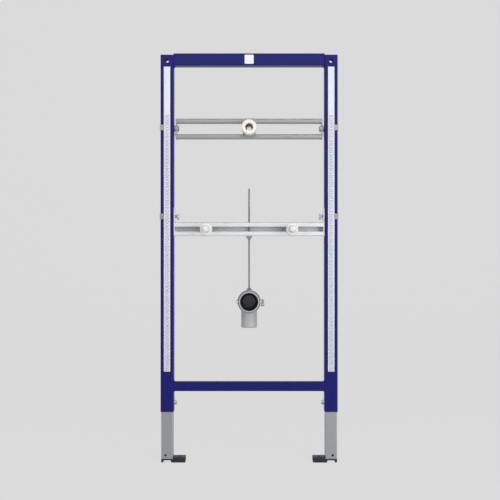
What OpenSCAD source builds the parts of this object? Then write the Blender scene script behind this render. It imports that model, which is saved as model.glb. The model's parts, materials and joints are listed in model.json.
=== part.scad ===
// Urinal installation frame: a blue steel frame on two telescopic feet, with a height-adjustable
// water bracket, a fixing rail with two urinal studs, and a drain elbow hung on a threaded rod.
// Heights named ..._z are above the floor; the origin is the centre of the top bar's rear face.

/* [Frame] */
// Overall width over both uprights
frame_w = 500; // [440:1:620]
// Overall height from the floor to the top of the top bar
total_h = 1155; // [1100:1:1300]
// Depth of the uprights and the top bar, front to rear
frame_d = 40; // [36:1:60]
// Width of an upright seen from the front
upright_w = 37; // [34:1:44]
// Wall of the frame's tubes
tube_t = 1.5; // [1:0.1:2.2]
// Outer corner radius of the frame's tubes
tube_r = 3; // [2.5:0.1:5]
// Height of the uprights' lower ends above the floor, as set here by the legs
upright_bottom_z = 143; // [90:1:190]
// How far the uprights end below the top of the top bar
upright_drop = 4; // [0:0.5:8]
// Height of the top bar
top_bar_h = 34; // [28:1:44]
// Height of the lower bar
low_bar_h = 27; // [20:1:40]
// Depth of the lower bar
low_bar_d = 20; // [14:1:34]
// Height of the lower bar's centre above the floor
low_bar_z = 215; // [210:1:225]
// Diameter of the wall fixing holes in the top corners
wall_hole_d = 12; // [8:0.5:14]
// Distance of the wall fixing holes below the uprights' upper ends
wall_hole_drop = 16.5; // [12:0.5:22]

/* [Scale strips and label] */
// Width of a scale strip
strip_w = 18; // [12:0.5:24]
// Length of a scale strip
strip_len = 860; // [600:1:862]
// Thickness of a scale strip
strip_t = 0.5; // [0.3:0.1:1]
// Height of the strips' lower ends above the floor
strip_bottom_z = 257; // [240:1:258]
// Side of the square blank label on the top bar
label_side = 25.5; // [16:0.5:27]
// Thickness of the label
label_t = 0.5; // [0.3:0.1:1]

/* [Legs and feet] */
// Clearance between a leg and the upright around it, on each side
leg_gap = 0.3; // [0.2:0.05:0.6]
// Wall of a leg's tube
leg_t = 2; // [1.5:0.1:3]
// Length of a leg's tube
leg_len = 340; // [300:1:420]
// Thickness of the foot plate under a leg
foot_t = 4; // [2:0.1:5]
// Height of the foot's pads under the plate
pad_h = 6.5; // [4:0.5:12]
// Width of the foot's outer pad
outer_pad_w = 8.5; // [6:0.5:9]
// Overall height of the foot's inner block, which takes the floor bolt
block_h = 15; // [14:0.5:24]
// How far the block reaches under its leg
block_under = 7; // [3:0.5:9]
// How far the foot reaches past its leg towards the middle
foot_reach = 34.7; // [28:0.1:44]
// Diameter of the floor bolt hole
floor_hole_d = 11; // [8:0.5:13]
// Diameter of the small hole at the foot of a leg's front
leg_hole_d = 6; // [4:0.5:8]
// Height of the small leg hole above the foot plate
leg_hole_up = 10; // [7:0.5:14]
// How far the small leg hole sits outwards from the leg's middle
leg_hole_out = 4.5; // [0:0.5:8]
// Thread diameter of the leg clamping screws
leg_screw_d = 8; // [6:0.5:10]
// Height of the leg clamping screws above the uprights' lower ends
leg_screw_up = 25; // [18:0.5:34]

/* [Brackets' straps] */
// Clearance between an upright and the straps that slide on it
slide_gap = 0.3; // [0.2:0.05:0.6]
// Thickness of the straps' sheet
strap_t = 1.5; // [1:0.1:2]
// Thickness of the brackets' end plates and their lugs
end_plate_t = 2.5; // [2:0.1:4]
// How far a lug reaches from the upright towards the middle
lug_reach = 14; // [13:0.5:18]
// Height of a lug at its root
lug_h = 27; // [20:0.5:30]
// Distance of a lug's front face behind the front of the uprights
lug_back = 10; // [8:0.5:16]
// Height of a strap that goes round an upright
strap_h = 16; // [12:0.5:20]
// Reach of a strap's claw over the front of its upright
claw_w = 9; // [6:0.5:9.5]
// Thread diameter of the strap clamping screws
strap_screw_d = 5; // [4:0.5:6]

/* [Water bracket] */
// Height of the water bracket's centre above the floor
water_z = 942.5; // [930:0.5:990]
// Overall height of the water bracket
water_h = 57; // [50:0.5:66]
// Height of each of its two bars
water_bar_h = 13; // [10:0.5:16]
// Depth of its two bars
water_bar_d = 25; // [20:0.5:30]
// Wall of its two bars
water_bar_t = 1.5; // [1:0.1:2]
// How far the bracket's straps sit above its centre
water_strap_up = 3; // [0:0.5:4]
// Gap between an upright and the end plate of the water bracket
water_end_gap = 5.7; // [4:0.1:7]
// Diameter of the round guide at the lower end of that plate
guide_d = 10; // [8:0.5:11]
// Outer diameter of the white sleeve round the water outlet
sleeve_d = 42; // [36:0.5:44]
// Inner diameter of the white sleeve
sleeve_bore_d = 22; // [20:0.5:26]
// Length of the sleeve in front of the connector plate
sleeve_len = 46; // [30:0.5:60]
// Core diameter of the brass outlet's inside thread
water_bore_d = 18.6; // [14:0.1:19]
// Outside diameter of the brass fitting's body
fitting_d = 28; // [26:0.5:32]
// Width of the steel plate that carries the fitting, where it grips the bars
connector_plate_w = 43; // [42:0.5:56]
// Thickness of that plate
connector_plate_t = 3; // [2:0.1:4]
// Usable depth of the outlet's inside thread
thread_depth = 14; // [12:0.5:20]
// How far the fitting's body stands in front of its plate
fitting_front = 7; // [5:0.5:18]
// Outer diameter of the supply thread at the rear
supply_d = 26.4; // [20:0.1:26.4]
// Length of the supply thread
supply_len = 15; // [12:0.5:26]
// Diameter of the waterway behind the inside thread
waterway_d = 14; // [10:0.5:14]

/* [Fixing rail] */
// Height of the fixing rail's centre above the floor
rail_z = 659; // [640:0.5:680]
// Height of the fixing rail
rail_h = 38.5; // [32:0.5:42]
// Depth of the fixing rail
rail_d = 30; // [26:0.5:32]
// Wall of the fixing rail
rail_t = 2; // [1.5:0.1:3]
// Width of the rail's front slot
slot_w = 14; // [13:0.5:18]
// Inward fold of the rail's lips at the slot
lip_d = 6; // [4:0.5:8]
// Height of the rail's end plates above the rail
end_plate_up = 40; // [34:0.5:48]
// Height of the rail's straps and lugs above the rail
rail_strap_up = 16.5; // [14:0.5:20]

/* [Urinal studs] */
// Distance between the two studs
stud_spacing = 243; // [180:1:300]
// Thread diameter of the studs
stud_d = 10; // [8:0.5:12]
// Length of a stud in front of the rail
stud_len = 56; // [40:1:66]
// Outer diameter of the white cap over a stud
cap_d = 21; // [18:0.5:24]
// Length of the white cap in front of its collar
cap_len = 62; // [58:1:80]
// Diameter of the white collar against the rail
collar_d = 35; // [30:0.5:38]
// Thickness of the collar
collar_t = 4; // [2:0.5:7]

/* [Drain] */
// Height of the drain's centre above the floor
drain_z = 453.5; // [445:0.5:460]
// Diameter of the threaded rod
rod_d = 6; // [5:0.5:8]
// Height of the threaded rod's upper end above the floor
rod_top_z = 774; // [750:1:776]
// Running clearance round the threaded rod where it passes through the rail
rod_gap = 0.3; // [0.2:0.05:0.6]
// Width of the funnel-shaped rod clip under the rail, at its top
clip_d = 17; // [14:0.5:20]
// Height of the rod clip under the rail
clip_h = 10; // [7:0.5:14]
// Diameter of the clip's neck in the rail's lower flange
clip_neck_d = 11; // [10:0.5:12]
// Height of the boss on the pipe clamp that takes the rod
boss_h = 7.5; // [6:0.5:14]
// Thread diameter of the pipe clamp's screw
clamp_screw_d = 5; // [4:0.5:6]
// Length of the clamp's screw ears
ear_len = 11; // [10:0.5:14]
// Outer diameter of the elbow's socket
socket_d = 58; // [56:0.5:62]
// Length of the elbow's socket
socket_len = 42; // [36:0.5:54]
// Outer diameter of the elbow's pipe
pipe_d = 46; // [40:0.5:48]
// Wall of the elbow's pipe and socket
pipe_t = 3; // [2:0.1:4]
// Centre-line radius of the elbow's bend
bend_r = 30; // [28:0.5:40]
// Length of the outlet pipe below the bend
outlet_len = 47; // [40:1:54]
// Chamfer round the outlet pipe's end
outlet_chamfer = 3; // [1:0.5:5]
// Inner diameter of the black seal in the socket
seal_bore_d = 47; // [44:0.5:48]
// Thickness of the pipe clamp's steel band
band_t = 2; // [1.5:0.1:3]
// Width of the pipe clamp's band
band_w = 20; // [16:0.5:24]
// Thickness of the pipe clamp's grey rubber lining
lining_t = 2; // [1.5:0.1:3]

/* [Hidden] */
$fn = 64;

// A small overshoot that makes cuts go clean through
cut = 1;
// Floor level below the origin
floor_z = -(total_h - top_bar_h / 2);
// Half the clear width between the uprights
clear_half = frame_w / 2 - upright_w;
// Centre of an upright from the middle of the frame
upright_x = frame_w / 2 - upright_w / 2;
upright_top_z = total_h - upright_drop;
leg_w = upright_w - 2 * tube_t - 2 * leg_gap;
leg_d = frame_d - 2 * tube_t - 2 * leg_gap;
foot_h = foot_t + pad_h;
// How far a strap's end reaches past the upright towards the middle
flange_reach = lug_reach - 1;
// Outer faces of the two brackets' end plates, and half the length of their bars
rail_end_out = clear_half - slide_gap;
water_end_out = clear_half - water_end_gap;
rail_half = rail_end_out - end_plate_t;
water_half = water_end_out - end_plate_t;
// Place of the strap clamping screws, which run front to rear through lug and strap
strap_screw_x = clear_half - lug_reach * 0.54;
lug_front_y = -frame_d + lug_back;
water_strap_z = water_z + water_strap_up;
rail_strap_z = rail_z + rail_h / 2 + rail_strap_up;
// Middle depth of the brackets, the rail and the threaded rod
rail_front_y = -frame_d + 3;
rod_y = rail_front_y + rail_d / 2 + 1;
// Screw heads: across-corner diameters and heights follow from the thread
function hex_corners(thread) = thread * 1.625 / cos(30);
function hex_height(thread) = thread * 0.65;

// Moves a piece from heights above the floor to the origin's height
module from_floor() {
    translate([0, 0, floor_z])
        children();
}

// Mirrors a left-hand piece to the right-hand side
module on_side(side) {
    if (side == "right") {
        mirror([1, 0, 0])
            children();
    } else {
        children();
    }
}

// Rectangle with round corners, centred
module rounded_rect(w, d, r) {
    square([w - 2 * r, d], center = true);
    square([w, d - 2 * r], center = true);
    for (x = [-1, 1], y = [-1, 1]) {
        translate([x * (w / 2 - r), y * (d / 2 - r)])
            circle(r);
    }
}

// Section of a tube with round corners, centred
module tube_section(w, d, t, r) {
    difference() {
        rounded_rect(w, d, r);
        rounded_rect(w - 2 * t, d - 2 * t, r - t);
    }
}

// Cylinder along Y from y0 towards the rear
module along_y(d, len, y0) {
    translate([0, y0, 0])
        rotate([-90, 0, 0])
            cylinder(d = d, h = len);
}

// Cylinder along X from x0 towards the right
module along_x(d, len, x0, sides = 64) {
    translate([x0, 0, 0])
        rotate([0, 90, 0])
            cylinder(d = d, h = len, $fn = sides);
}

// Left upright: a closed tube with the wall hole near its top and the screw hole near its foot
module upright(side) {
    color("#1c1c6c")
        from_floor()
            on_side(side)
                difference() {
                    translate([-upright_x, -frame_d / 2, upright_bottom_z])
                        linear_extrude(upright_top_z - upright_bottom_z)
                            tube_section(upright_w, frame_d, tube_t, tube_r);
                    translate([-upright_x, 0, upright_top_z - wall_hole_drop])
                        along_y(wall_hole_d, frame_d + 2 * cut, -frame_d - cut);
                    translate([0, -frame_d / 2, upright_bottom_z + leg_screw_up])
                        along_x(leg_screw_d + 2 * rod_gap, tube_t + 2 * cut, -clear_half - tube_t - cut);
                }
}

// Top bar: a closed tube between the uprights
module top_bar() {
    color("#41408a")
        translate([0, -frame_d / 2, 0])
            rotate([90, 0, 90])
                linear_extrude(2 * clear_half, center = true)
                    tube_section(frame_d, top_bar_h, tube_t, tube_r);
}

// Lower bar: a channel open to the rear, flush with the front of the uprights
module lower_bar() {
    color("#1e1e76")
        from_floor()
            translate([0, -frame_d + low_bar_d / 2, low_bar_z])
                rotate([90, 0, 90])
                    linear_extrude(2 * clear_half, center = true)
                        difference() {
                            tube_section(low_bar_d, low_bar_h, tube_t, tube_r);
                            translate([low_bar_d / 2 - tube_r - cut, -low_bar_h / 2 + tube_t])
                                square([tube_r + 2 * cut, low_bar_h - 2 * tube_t]);
                        }
}

// Blank square label on the top bar
module blank_label() {
    color("white")
        translate([-label_side / 2, -frame_d - label_t, -label_side / 2])
            cube([label_side, label_t, label_side]);
}

// White strip with the height scale, on the front of an upright
module scale_strip(side) {
    color("#e6e9f0")
        from_floor()
            on_side(side)
                translate([-upright_x - strip_w / 2, -frame_d - strip_t, strip_bottom_z])
                    cube([strip_w, strip_t, strip_len]);
}

// Leg clamping screw: weld nut, bolt head and shank, at the inner side of an upright
module leg_screw(side) {
    nut_h = hex_height(leg_screw_d);
    head_h = nut_h * 0.7;
    shank = head_h + nut_h + tube_t + leg_gap * 0.4;
    color("#9a9a9a")
        from_floor()
            on_side(side)
                translate([0, -frame_d / 2, upright_bottom_z + leg_screw_up]) {
                    along_x(hex_corners(leg_screw_d), nut_h, -clear_half, 6);
                    along_x(hex_corners(leg_screw_d * 0.8), head_h, -clear_half + nut_h, 6);
                    along_x(leg_screw_d, shank, -clear_half + nut_h + head_h - shank);
                }
}

// Leg: a galvanised tube that slides in its upright
module leg(side) {
    color("#a0a0a0")
        from_floor()
            on_side(side)
                difference() {
                    translate([-upright_x, -frame_d / 2, foot_h])
                        linear_extrude(leg_len)
                            tube_section(leg_w, leg_d, leg_t, tube_r - tube_t + leg_t / 2);
                    translate([-upright_x - leg_hole_out, 0, foot_h + leg_hole_up])
                        along_y(leg_hole_d, frame_d / 2 + cut, -frame_d - cut);
                }
}

// Foot: a thin plate under the leg, with a narrow outer pad and a high inner block for the floor bolt
module foot(side) {
    outer_x = -upright_x - leg_w / 2;
    leg_in = -upright_x + leg_w / 2;
    inner_x = leg_in + foot_reach;
    bolt_x = (leg_in + inner_x) / 2;
    color("#33353f")
        from_floor()
            on_side(side)
                difference() {
                    translate([0, -frame_d / 2 + leg_d / 2, 0])
                        rotate([90, 0, 0])
                            linear_extrude(leg_d)
                                foot_outline(outer_x, leg_in, inner_x);
                    translate([bolt_x, -frame_d / 2, -cut])
                        cylinder(d = floor_hole_d, h = block_h + 2 * cut);
                }
}

// Outline of a foot seen from the front: rounded outer pad, bridge plate and rounded inner block
module foot_outline(outer_x, leg_in, inner_x) {
    corner_r = 2;
    rake = 2.3;
    toe_r = (outer_pad_w - rake) / 2;
    translate([outer_x, pad_h])
        square([inner_x - corner_r - outer_x, foot_t]);
    polygon([
        [outer_x, pad_h],
        [outer_x, toe_r],
        [outer_x + 2 * toe_r, toe_r],
        [outer_x + outer_pad_w, pad_h]
    ]);
    translate([outer_x + toe_r, toe_r])
        circle(toe_r);
    polygon([
        [leg_in - block_under, pad_h + 1],
        [leg_in - block_under, pad_h],
        [leg_in - block_under + rake, 0],
        [inner_x - corner_r, 0],
        [inner_x - corner_r, pad_h + 1]
    ]);
    translate([leg_in, 0])
        square([foot_reach - corner_r, block_h]);
    translate([leg_in, corner_r])
        square([foot_reach, block_h - 2 * corner_r]);
    for (z = [corner_r, block_h - corner_r]) {
        translate([inner_x - corner_r, z])
            circle(corner_r);
    }
}

// Strap: a claw over the front edge of an upright, its outer side, its rear and a flange past it
module strap(side, z) {
    outer = -frame_w / 2 - slide_gap;
    front = -frame_d - slide_gap;
    flange_x = -clear_half + flange_reach;
    color("#b9bac6")
        from_floor()
            on_side(side)
                difference() {
                    translate([0, 0, z - strap_h / 2])
                        linear_extrude(strap_h) {
                            translate([outer - strap_t, slide_gap])
                                square([flange_x - outer + strap_t, strap_t]);
                            translate([outer - strap_t, front - strap_t])
                                square([strap_t, -front + slide_gap + 2 * strap_t]);
                            translate([outer - strap_t, front - strap_t])
                                square([claw_w + strap_t, strap_t]);
                        }
                    translate([-strap_screw_x, 0, z])
                        along_y(strap_screw_d + 0.2, strap_t + 2 * cut, slide_gap - cut);
                }
}

// Strap clamping screw: head on the lug's front, weld nut on the front of the strap's flange
module strap_screw(side, z) {
    head_h = hex_height(strap_screw_d);
    tail = 3;
    color("#d5d6da")
        from_floor()
            on_side(side)
                translate([-strap_screw_x, 0, z]) {
                    along_y(1.8 * strap_screw_d, head_h, lug_front_y - head_h);
                    along_y(strap_screw_d, slide_gap + strap_t + tail - lug_front_y, lug_front_y);
                    along_y(1.6 * strap_screw_d, head_h, slide_gap - head_h);
                }
}

// Triangular lug that stands inwards from an end plate and takes the clamping screw
module lug(root_x, z) {
    tip = 3;
    difference() {
        translate([0, lug_front_y + end_plate_t, z])
            rotate([90, 0, 0])
                linear_extrude(end_plate_t)
                    polygon([
                        [-root_x, -lug_h / 2],
                        [-clear_half + lug_reach, -tip],
                        [-clear_half + lug_reach, tip],
                        [-root_x, lug_h / 2]
                    ]);
        translate([-strap_screw_x, 0, z])
            along_y(strap_screw_d + 2 * rod_gap, end_plate_t + 2 * cut, lug_front_y - cut);
    }
}

// Depth and spacing of the water bracket's bars
water_bar_y = -frame_d + 3 + water_bar_d / 2;
water_bar_rise = water_h / 2 - water_bar_h / 2;

// Bar of the water bracket: a tube with well rounded edges
module water_bar(rise) {
    color("#8a8c8c")
        from_floor()
            translate([0, water_bar_y, water_z + rise])
                rotate([90, 0, 90])
                    linear_extrude(2 * water_half, center = true)
                        tube_section(water_bar_d, water_bar_h, water_bar_t, 4);
}

// End plate of the water bracket: two tabs joined by a rhombic lug that takes the screw
module water_end(side) {
    depth = -rail_front_y + slide_gap;
    window_h = lug_h / 2 - 2;
    inner_face = -water_end_out + end_plate_t;
    guide_z = water_z - water_h / 2 + guide_d + 2;
    color("#77797b")
        from_floor()
            on_side(side) {
                difference() {
                    translate([-water_end_out, rail_front_y, water_z - water_h / 2])
                        cube([end_plate_t, depth, water_h]);
                    translate([-water_end_out - cut, rail_front_y - cut, water_strap_z - window_h / 2])
                        cube([end_plate_t + 2 * cut, depth + 2 * cut, window_h]);
                }
                difference() {
                    translate([0, lug_front_y + end_plate_t, water_strap_z])
                        rotate([90, 0, 0])
                            linear_extrude(end_plate_t)
                                polygon([
                                    [-clear_half + slide_gap, 0],
                                    [-strap_screw_x, -lug_h / 2],
                                    [-clear_half + lug_reach, 0],
                                    [-strap_screw_x, lug_h / 2]
                                ]);
                    translate([-strap_screw_x, 0, water_strap_z])
                        along_y(strap_screw_d + 2 * rod_gap, end_plate_t + 2 * cut, lug_front_y - cut);
                }
                intersection() {
                    translate([-water_end_out + guide_d * 0.2, 0, guide_z])
                        along_y(guide_d, water_bar_d, rail_front_y);
                    translate([inner_face - guide_d, rail_front_y, guide_z - guide_d])
                        cube([guide_d, water_bar_d, 2 * guide_d]);
                }
            }
}

plate_front_y = water_bar_y - water_bar_d / 2 - connector_plate_t;

// Steel plate on the front of the two bars, waisted round the brass fitting
module connector_plate() {
    grip_h = water_bar_h;
    color("#5c5e60")
        from_floor()
            translate([0, plate_front_y + connector_plate_t, water_z])
                rotate([90, 0, 0])
                    linear_extrude(connector_plate_t)
                        difference() {
                            union() {
                                for (s = [-1, 1]) {
                                    translate([0, s * water_bar_rise])
                                        square([connector_plate_w, grip_h], center = true);
                                }
                                square([sleeve_d - 6, water_h - grip_h], center = true);
                            }
                            circle(d = fitting_d + 0.2);
                        }
}

// Brass fitting: inside thread to the front, lock ring behind the plate, supply thread to the rear
module brass_fitting() {
    front_y = plate_front_y - fitting_front;
    wall_y = plate_front_y + connector_plate_t;
    ring_t = 5;
    supply_y = water_bar_y + water_bar_d / 2 + 1;
    color("#b08d4a")
        from_floor()
            translate([0, 0, water_z])
                difference() {
                    union() {
                        along_y(fitting_d, wall_y - front_y, front_y);
                        along_y(fitting_d + 2, ring_t, wall_y);
                        along_y(supply_d - 2.4, supply_y - wall_y, wall_y);
                        along_y(supply_d, supply_len, supply_y);
                    }
                    along_y(water_bore_d, thread_depth + cut, front_y - cut);
                    along_y(waterway_d, supply_y + supply_len - front_y, front_y + cut);
                }
}

// White protective sleeve round the water outlet
module water_sleeve() {
    seat_d = fitting_d + 2 * rod_gap;
    seat_len = fitting_front + 0.5;
    lip_r = 3;
    color("#f2efe9")
        from_floor()
            translate([0, plate_front_y, water_z])
                rotate([90, 0, 0])
                    rotate_extrude()
                        difference() {
                            union() {
                                translate([sleeve_bore_d / 2, 0])
                                    square([(sleeve_d - sleeve_bore_d) / 2 - lip_r, sleeve_len]);
                                translate([sleeve_bore_d / 2, 0])
                                    square([(sleeve_d - sleeve_bore_d) / 2, sleeve_len - lip_r]);
                                translate([sleeve_d / 2 - lip_r, sleeve_len - lip_r])
                                    circle(lip_r);
                            }
                            translate([0, -cut])
                                square([seat_d / 2, seat_len + cut]);
                        }
}

// Fixing rail: a C-section with its slot to the front and folded lips
module fixing_rail() {
    color("#cfcfd0")
        from_floor()
            difference() {
                translate([0, rail_front_y + rail_d / 2, rail_z])
                    rotate([90, 0, 90])
                        linear_extrude(2 * rail_half, center = true)
                            rail_section();
                translate([0, rod_y, rail_z])
                    cylinder(d = rod_d + 2 * rod_gap, h = rail_h);
                translate([0, rod_y, rail_z - rail_h / 2 - cut])
                    cylinder(d = clip_neck_d, h = rail_t + 2 * cut);
            }
}

// Section of the fixing rail: the slot opens towards negative x of the section
module rail_section() {
    difference() {
        tube_section(rail_d, rail_h, rail_t, rail_t + 0.5);
        translate([-rail_d / 2 - cut, -slot_w / 2])
            square([rail_t + 2 * cut, slot_w]);
    }
    for (s = [-1, 1]) {
        translate([-rail_d / 2, s * (slot_w / 2 + rail_t / 2) - rail_t / 2])
            square([lip_d, rail_t]);
    }
}

// End plate of the fixing rail: it carries the rail, and its lug takes the screw
module rail_end(side) {
    bottom = rail_z - rail_h / 2;
    depth = -rail_front_y + slide_gap;
    color("#b4b6ba")
        from_floor()
            on_side(side) {
                translate([-rail_end_out, rail_front_y, bottom])
                    cube([end_plate_t, depth, rail_h + end_plate_up]);
                lug(rail_half, rail_strap_z);
            }
}

// Urinal stud with its square slide nut behind the rail's lips
module stud(x) {
    nut_t = 5;
    nut_w = slot_w + 10;
    nut_y = rail_front_y + lip_d + 0.2;
    color("#9fa1a4")
        from_floor()
            translate([x, 0, rail_z]) {
                along_y(stud_d, nut_y + nut_t - rail_front_y + stud_len, rail_front_y - stud_len);
                translate([-nut_w / 2, nut_y, -nut_w / 2])
                    cube([nut_w, nut_t, nut_w]);
            }
}

// White collar against the front of the rail
module collar(x) {
    color("#f4f4f4")
        from_floor()
            translate([x, 0, rail_z])
                difference() {
                    along_y(collar_d, collar_t, rail_front_y - collar_t);
                    along_y(stud_d + 2 * rod_gap, collar_t + 2 * cut, rail_front_y - collar_t - cut);
                }
}

// White domed cap over a stud
module cap(x) {
    dome = cap_d / 2;
    wall_top = stud_len - collar_t + 1;
    color("#f7f7f7")
        from_floor()
            translate([x, rail_front_y - collar_t, rail_z])
                rotate([90, 0, 0])
                    rotate_extrude()
                        difference() {
                            union() {
                                square([cap_d / 2, cap_len - dome]);
                                intersection() {
                                    translate([0, cap_len - dome])
                                        circle(dome);
                                    square([dome, cap_len]);
                                }
                            }
                            translate([0, -cut])
                                square([stud_d / 2 + rod_gap, wall_top + cut]);
                        }
}

// Funnel-shaped clip that grips the rod: its neck snaps through the rail's lower flange
module rod_clip() {
    lip_h = 1.5;
    tip_d = rod_d + 2.4;
    flange_z = rail_z - rail_h / 2;
    neck_d = clip_neck_d - 0.2;
    color("#4c4e52")
        from_floor()
            translate([0, rod_y, flange_z])
                rotate_extrude()
                    polygon([
                        [rod_d / 2 + rod_gap, -clip_h],
                        [tip_d / 2, -clip_h],
                        [clip_d / 2, -lip_h],
                        [clip_d / 2, 0],
                        [neck_d / 2, 0],
                        [neck_d / 2, rail_t],
                        [neck_d / 2 + 1, rail_t],
                        [neck_d / 2, rail_t + lip_h],
                        [rod_d / 2 + rod_gap, rail_t + lip_h]
                    ]);
}

band_in = socket_d / 2 + lining_t;
band_out = band_in + band_t;
// Height at which the rod ends in the boss, above the drain's centre
rod_seat = band_out + 1;
// Distance of each clamp ear from the joint plane
ear_gap = 2.5;

// Threaded rod from above the rail down into the pipe clamp's boss
module threaded_rod() {
    rod_bottom = drain_z + rod_seat;
    color("#8c8c8e")
        from_floor()
            translate([0, rod_y, rod_bottom])
                cylinder(d = rod_d, h = rod_top_z - rod_bottom);
}

// Half ring of the pipe clamp's band, above the joint plane
module half_band() {
    difference() {
        along_y(2 * band_out, band_w, rod_y - band_w / 2);
        along_y(2 * band_in, band_w + 2 * cut, rod_y - band_w / 2 - cut);
        translate([-band_out - cut, rod_y - band_w / 2 - cut, -2 * band_out + ear_gap])
            cube([2 * band_out + 2 * cut, band_w + 2 * cut, 2 * band_out]);
    }
}

// Length of the clamp's hooks, and the screw's place on the ears
hook_len = 5;
ear_screw_x = band_in + ear_len - 3.4;

// Ears of a clamp half: a long one for the screw on the right and a short hook on the left
module clamp_ears() {
    root = 0.5;
    difference() {
        translate([band_in + root, rod_y - band_w / 2, ear_gap])
            cube([ear_len, band_w, band_t]);
        translate([ear_screw_x, rod_y, ear_gap - cut])
            cylinder(d = clamp_screw_d + 2 * rod_gap, h = band_t + 2 * cut);
    }
    translate([-band_in - root - hook_len, rod_y - band_w / 2, ear_gap])
        cube([hook_len, band_w, band_t]);
}

// Upper half of the pipe clamp with the boss for the rod
module clamp_upper() {
    boss_foot_d = 20;
    boss_top_d = rod_d + 3;
    sink = 1.2;
    color("#a9abad")
        from_floor()
            translate([0, 0, drain_z])
                difference() {
                    union() {
                        half_band();
                        clamp_ears();
                        translate([0, rod_y, band_out - sink])
                            cylinder(d1 = boss_foot_d, d2 = boss_top_d, h = boss_h);
                    }
                    translate([0, rod_y, rod_seat])
                        cylinder(d = rod_d + 0.1, h = boss_h);
                }
}

// Lower half of the pipe clamp
module clamp_lower() {
    color("#8f9193")
        from_floor()
            translate([0, 0, drain_z])
                mirror([0, 0, 1]) {
                    half_band();
                    clamp_ears();
                }
}

// Rubber lining between the clamp and the socket
module clamp_lining() {
    color("#7a7c7e")
        from_floor()
            translate([0, 0, drain_z])
                difference() {
                    along_y(2 * band_in, band_w, rod_y - band_w / 2);
                    along_y(socket_d + 0.1, band_w + 2 * cut, rod_y - band_w / 2 - cut);
                }
}

// Screw that closes the pipe clamp: nut above the ears, washer and head below them
module clamp_screw() {
    nut_h = hex_height(clamp_screw_d);
    reach = ear_gap + band_t;
    spacer_h = 3.5;
    head_h = 5;
    color("#85878a")
        from_floor()
            translate([ear_screw_x, rod_y, drain_z]) {
                translate([0, 0, reach])
                    cylinder(d = clamp_screw_d * 1.3, h = nut_h);
                translate([0, 0, -reach - spacer_h])
                    cylinder(d = clamp_screw_d, h = 2 * reach + spacer_h + 1);
                translate([0, 0, -reach - spacer_h])
                    cylinder(d = clamp_screw_d * 1.3, h = spacer_h);
                translate([0, 0, -reach - spacer_h - head_h])
                    cylinder(d = hex_corners(clamp_screw_d), h = head_h, $fn = 6);
            }
}

// Depths of the drain socket's two ends
socket_front_y = rod_y - band_w / 2 - 12;
socket_back_y = socket_front_y + socket_len;

// Drain elbow: a socket to the front, a quarter bend and an outlet pipe downwards
module drain_elbow() {
    pipe_r = pipe_d / 2;
    color("#dcdddd")
        from_floor()
            translate([0, 0, drain_z]) {
                difference() {
                    along_y(socket_d, socket_len, socket_front_y);
                    along_y(socket_d - 2 * pipe_t, socket_len - pipe_t + cut, socket_front_y - cut);
                    along_y(pipe_d - 2 * pipe_t, socket_len, socket_front_y + cut);
                }
                translate([0, socket_back_y, -bend_r])
                    rotate([90, 0, 90])
                        rotate_extrude(angle = 90)
                            translate([bend_r, 0])
                                difference() {
                                    circle(pipe_r);
                                    circle(pipe_r - pipe_t);
                                }
                translate([0, socket_back_y + bend_r, -bend_r - outlet_len])
                    difference() {
                        union() {
                            translate([0, 0, outlet_chamfer])
                                cylinder(d = pipe_d, h = outlet_len - outlet_chamfer);
                            cylinder(d1 = pipe_d - outlet_chamfer, d2 = pipe_d, h = outlet_chamfer);
                        }
                        translate([0, 0, -cut])
                            cylinder(d = pipe_d - 2 * pipe_t, h = outlet_len + 2 * cut);
                    }
            }
}

// Black seal in the socket, with a sealing lip deep inside
module drain_seal() {
    seal_len = socket_len - pipe_t;
    outer_r = socket_d / 2 - pipe_t;
    bore_r = seal_bore_d / 2;
    lip_r = bore_r - 6;
    lip_w = 3;
    cone_len = 7;
    color("#2b2b2b")
        from_floor()
            translate([0, socket_front_y, drain_z])
                rotate([-90, 0, 0])
                    rotate_extrude()
                        polygon([
                            [outer_r, 0],
                            [outer_r, seal_len],
                            [lip_r, seal_len],
                            [lip_r, seal_len - lip_w],
                            [bore_r, seal_len - lip_w - cone_len],
                            [bore_r, 0]
                        ]);
}

upright("left");  // upright_left
upright("right");  // upright_right
top_bar();
lower_bar();
blank_label();
scale_strip("left");  // scale_strip_left
scale_strip("right");  // scale_strip_right
leg_screw("left");  // leg_screw_left
leg_screw("right");  // leg_screw_right
leg("left");  // leg_left
leg("right");  // leg_right
foot("left");  // foot_left
foot("right");  // foot_right
water_bar(water_bar_rise);  // water_bar_upper
water_bar(-water_bar_rise);  // water_bar_lower
water_end("left");  // water_end_left
water_end("right");  // water_end_right
strap("left", water_strap_z);  // water_strap_left
strap("right", water_strap_z);  // water_strap_right
strap_screw("left", water_strap_z);  // water_screw_left
strap_screw("right", water_strap_z);  // water_screw_right
connector_plate();
brass_fitting();
water_sleeve();
fixing_rail();
rail_end("left");  // rail_end_left
rail_end("right");  // rail_end_right
strap("left", rail_strap_z);  // rail_strap_left
strap("right", rail_strap_z);  // rail_strap_right
strap_screw("left", rail_strap_z);  // rail_screw_left
strap_screw("right", rail_strap_z);  // rail_screw_right
stud(-stud_spacing / 2);  // stud_left
stud(stud_spacing / 2);  // stud_right
collar(-stud_spacing / 2);  // collar_left
collar(stud_spacing / 2);  // collar_right
cap(-stud_spacing / 2);  // cap_left
cap(stud_spacing / 2);  // cap_right
rod_clip();
threaded_rod();
clamp_upper();
clamp_lower();
clamp_lining();
clamp_screw();
drain_elbow();
drain_seal();
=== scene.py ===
"""Dresses the urinal installation frame: finishes, threads, printed scales, weld beads, studio and camera."""

import json
import math

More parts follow.
